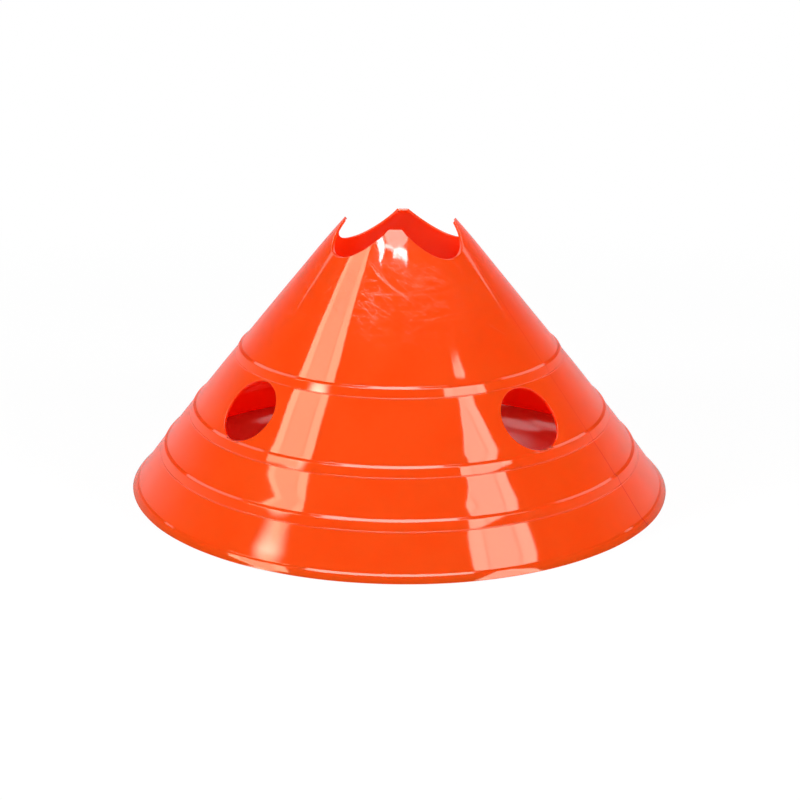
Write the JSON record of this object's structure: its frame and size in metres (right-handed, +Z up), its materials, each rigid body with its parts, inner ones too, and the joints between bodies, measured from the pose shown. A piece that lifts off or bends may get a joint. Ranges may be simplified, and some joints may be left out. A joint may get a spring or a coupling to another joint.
{
  "type": "sports marker cone",
  "caption": "Low one-piece sports marker cone with stepped rings, a notched open crown and round pole holes through its wall.",
  "frame": {"origin": "centre of the base circle, on the plane that the base rim stands on", "axes": "+Z up along the cone's axis; +X and +Y each point at a pole hole and at the crown notch above it"},
  "size_m": [0.305, 0.305, 0.15],
  "materials": {
    "shell": "glossy orange-red moulded polyethylene"
  },
  "bodies": {
    "root": {"cone_shell": "shell"}
  },
  "joints": []
}
